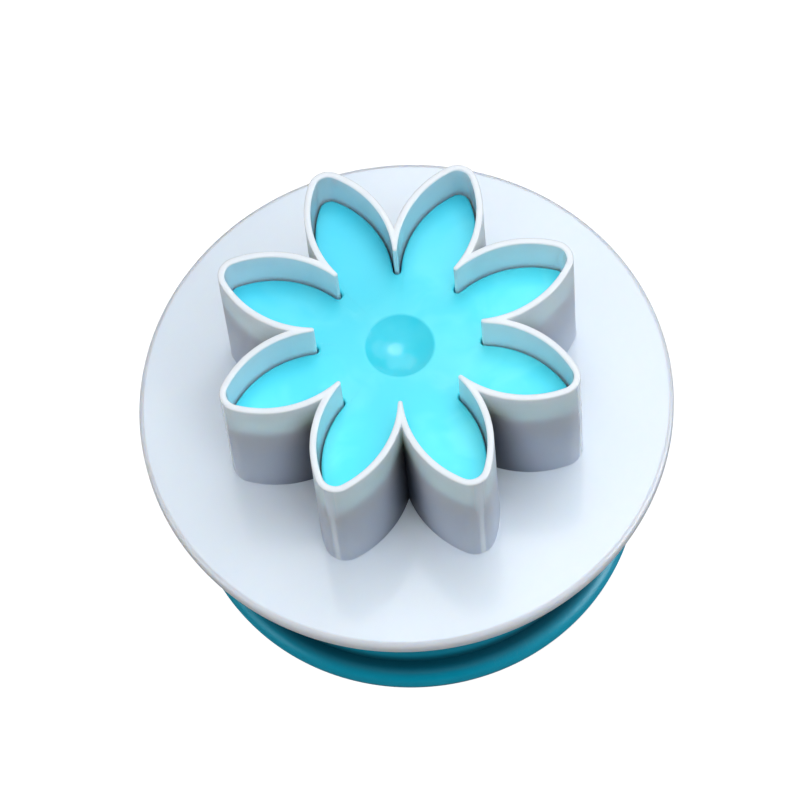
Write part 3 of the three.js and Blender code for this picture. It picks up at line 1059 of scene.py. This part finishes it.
white_plastic = white_finish(
    "white_plastic", WHITE_TONE, WHITE_FLOW, roughness=0.1, glow=0.4, light_depth=1.8 * MM
)
# The outside of the blade: thin, so light travels far in it, and darker than the disc as painted shade.
thin_shaded_white_plastic = white_finish(
    "thin_shaded_white_plastic",
    BLADE_SHADE_TONE,
    BLADE_SHADE_FLOW,
    roughness=0.46,
    glow=1.0,
    light_depth=5.0 * MM,
    foot_shade_strength=0.4,
)
# The flange's edge: the same plastic, lighter as painted light, and light travels far in it.
lit_edge_white_plastic = white_finish(
    "lit_edge_white_plastic", EDGE_LIT_TONE, EDGE_LIT_FLOW, roughness=0.3, glow=1.0, light_depth=5.0 * MM
)
cyan_plastic = cyan_finish()
teal_plastic = teal_finish()
spring_steel = steel_finish(
    "spring_steel", SPRING_BRIGHT, SPRING_DULL, ring_frequency=9000.0, ring_depth=8e-7, roughness=0.2
)
screw_steel = steel_finish(
    "screw_steel", SCREW_BRIGHT, SCREW_DULL, ring_frequency=14000.0, ring_depth=1.2e-6, roughness=0.16
)


# The assembly

white_finishes = (white_plastic, thin_shaded_white_plastic, lit_edge_white_plastic)


def white_finish_at(place):
    """The finish of the cutter at a place: a lighter copy with painted light on the flange's edge, and a
    darker copy with painted shade outside the blade.
    """
    on_wall = FLANGE_TOP + FOOT_FILLET / 2 < place.z < RIM_TOP - RIM_ROUND
    if place.xy.length > FLANGE_RADIUS - EDGE_WIDTH:
        return lit_edge_white_plastic
    if on_wall and outside_blade(place):
        return thin_shaded_white_plastic
    return white_plastic


cutter = hand_over(flower_cutter(), "cutter_body", "cutter", "white_plastic", *white_finishes)
for face in cutter.data.polygons:
    face.material_index = white_finishes.index(white_finish_at(face.center))
hand_over(dimpled_ejector(), "flower_ejector", "plunger", "cyan_plastic", cyan_plastic)
hand_over(knob_skirt(), "push_knob", "plunger", "teal_plastic", teal_plastic)
hand_over(press_plate(), "knob_cover", "plunger", "teal_plastic", teal_plastic)
hand_over(plunger_post(), "plunger_stem", "plunger", "cyan_plastic", cyan_plastic)
hand_over(cross_screw(), "retaining_screw", "plunger", "screw_steel", screw_steel)
hand_over(flat_washer(), "screw_washer", "plunger", "screw_steel", screw_steel)
coil = hand_over(return_coil(), "return_spring", "plunger", "spring_steel", spring_steel)
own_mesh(coil)


# Camera at the photograph's angle, in degrees, and the studio round the object

VIEW_AZIMUTH = -18.65
VIEW_ELEVATION = 64.27
VIEW_ROLL = -6.4
VIEW_DISTANCE = 0.445
VIEW_LENS = 165.0
VIEW_SENSOR = 36.0
VIEW_SHIFT = (-0.0069, -0.0033)
VIEW_NEAREST = 10 * MM
AIM = Vector((0, 0, FLANGE_TOP))

WHITE = (1, 1, 1, 1)
FLOOR_SIZE = 4
FLOOR_GAP = 0.1 * MM
FLOOR_GREY = (0.2, 0.2, 0.2, 1)
SEEN_LIGHT = 1.0
FLOOR_LIGHT = 0.08
ROOM_LIGHT = 0.02
LIGHT_DISTANCE = 0.9
SHEEN_DISTANCE = 0.7
PLAIN_LIGHT = (1, 1, 1)
SKY_LIGHT = (0.905, 0.935, 1.0)
PALE_LIGHT = (0.93, 0.96, 1.0)
BLUE_LIGHT = (0.8, 0.86, 1.0)
WARM_LIGHT = (1.0, 0.96, 0.98)


def view_direction(azimuth, elevation):
    a, e = math.radians(azimuth), math.radians(elevation)
    return Vector((math.sin(a) * math.cos(e), -math.cos(a) * math.cos(e), math.sin(e)))


def aim(item, direction, distance, roll=0.0):
    """Puts a camera or light at a distance in that direction, looking at the object."""
    item.location = AIM + direction * distance
    item.rotation_mode = "QUATERNION"
    turn = Quaternion(UP, math.radians(roll))
    item.rotation_quaternion = (-direction).to_track_quat("-Z", "Y") @ turn


def photo_camera():
    lens = bpy.data.cameras.new("photo_camera")
    lens.lens = VIEW_LENS
    lens.sensor_width = VIEW_SENSOR
    lens.shift_x, lens.shift_y = VIEW_SHIFT
    lens.clip_start = VIEW_NEAREST
    camera = bpy.data.objects.new("photo_camera", lens)
    bpy.context.scene.collection.objects.link(camera)
    aim(camera, view_direction(VIEW_AZIMUTH, VIEW_ELEVATION), VIEW_DISTANCE, VIEW_ROLL)
    bpy.context.scene.camera = camera


def softbox(name, turn, elevation, size, power, colour=PLAIN_LIGHT, distance=LIGHT_DISTANCE):
    """A round soft light. Its turn is counted from the camera, so that 180 is behind the object."""
    light = bpy.data.lights.new(name, "AREA")
    light.shape = "DISK"
    light.size = size
    light.energy = power
    light.color = colour
    lamp = bpy.data.objects.new(name, light)
    bpy.context.scene.collection.objects.link(lamp)
    aim(lamp, view_direction(VIEW_AZIMUTH + turn, elevation), distance)
    return lamp


def camera_only(tree, seen, lit):
    """A strength for what the camera sees, and another for the light it casts on the object."""
    direct = add_node(tree, "ShaderNodeLightPath").outputs["Is Camera Ray"]
    return calculate(tree, "MULTIPLY_ADD", direct, seen - lit, lit)


def floor_material():
    """A plain pale floor that is clear from below."""
    material, tree, shader = new_finish("pale_floor")
    shader.inputs["Base Color"].default_value = FLOOR_GREY
    shader.inputs["Roughness"].default_value = 1.0
    shader.inputs["Specular IOR Level"].default_value = 0.0
    shader.inputs["Emission Color"].default_value = WHITE
    tree.links.new(camera_only(tree, SEEN_LIGHT, FLOOR_LIGHT), shader.inputs["Emission Strength"])
    below = add_node(tree, "ShaderNodeNewGeometry").outputs["Backfacing"]
    clear = add_node(tree, "ShaderNodeBsdfTransparent").outputs[0]
    side = add_node(tree, "ShaderNodeMixShader", {0: below, 1: shader.outputs[0], 2: clear}).outputs[0]
    tree.links.new(side, tree.nodes["Material Output"].inputs["Surface"])
    return material


def studio_lights():
    """Soft light for the tones, then broad panels that only show as sheen on the plastic."""
    soft_only = [
        softbox("overhead_softbox", turn=60, elevation=87, size=1.0, power=6.7, colour=SKY_LIGHT),
        softbox("back_key", turn=165, elevation=66, size=0.5, power=1.5, colour=SKY_LIGHT),
        softbox("front_right_fill", turn=40, elevation=42, size=0.5, power=0.9, colour=PALE_LIGHT),
    ]
    softbox("right_key", turn=130, elevation=50, size=0.6, power=0.6)
    softbox("right_fill", turn=85, elevation=10, size=0.5, power=1.3, colour=BLUE_LIGHT)
    softbox("left_fill", turn=-65, elevation=17, size=0.5, power=1.32, colour=WARM_LIGHT)
    sheen_only = [
        softbox("panel_sheen", turn=160, elevation=65, size=0.4, power=0.9),
        softbox("backdrop_sheen", turn=180, elevation=36, size=0.7, power=1.0),
        softbox("right_sheen", turn=80, elevation=14, size=0.6, power=7.0, distance=SHEEN_DISTANCE),
        softbox("left_sheen", turn=-80, elevation=14, size=0.6, power=1.2, distance=SHEEN_DISTANCE),
    ]
    for lamp in soft_only:
        lamp.visible_glossy = False
    for lamp in sheen_only:
        lamp.visible_diffuse = False


def studio():
    bpy.ops.object.select_all(action="DESELECT")
    bpy.ops.mesh.primitive_plane_add(size=FLOOR_SIZE, location=(0, 0, -FLOOR_GAP))
    floor = bpy.context.object
    floor.name = "studio_floor"
    floor.data.materials.append(floor_material())
    world = bpy.data.worlds.new("studio")
    world.use_nodes = True
    tree = world.node_tree
    backdrop = tree.nodes["Background"]
    backdrop.inputs["Color"].default_value = WHITE
    tree.links.new(camera_only(tree, SEEN_LIGHT, ROOM_LIGHT), backdrop.inputs["Strength"])
    bpy.context.scene.world = world
    studio_lights()
    bpy.context.scene.view_settings.view_transform = "Standard"


photo_camera()
studio()
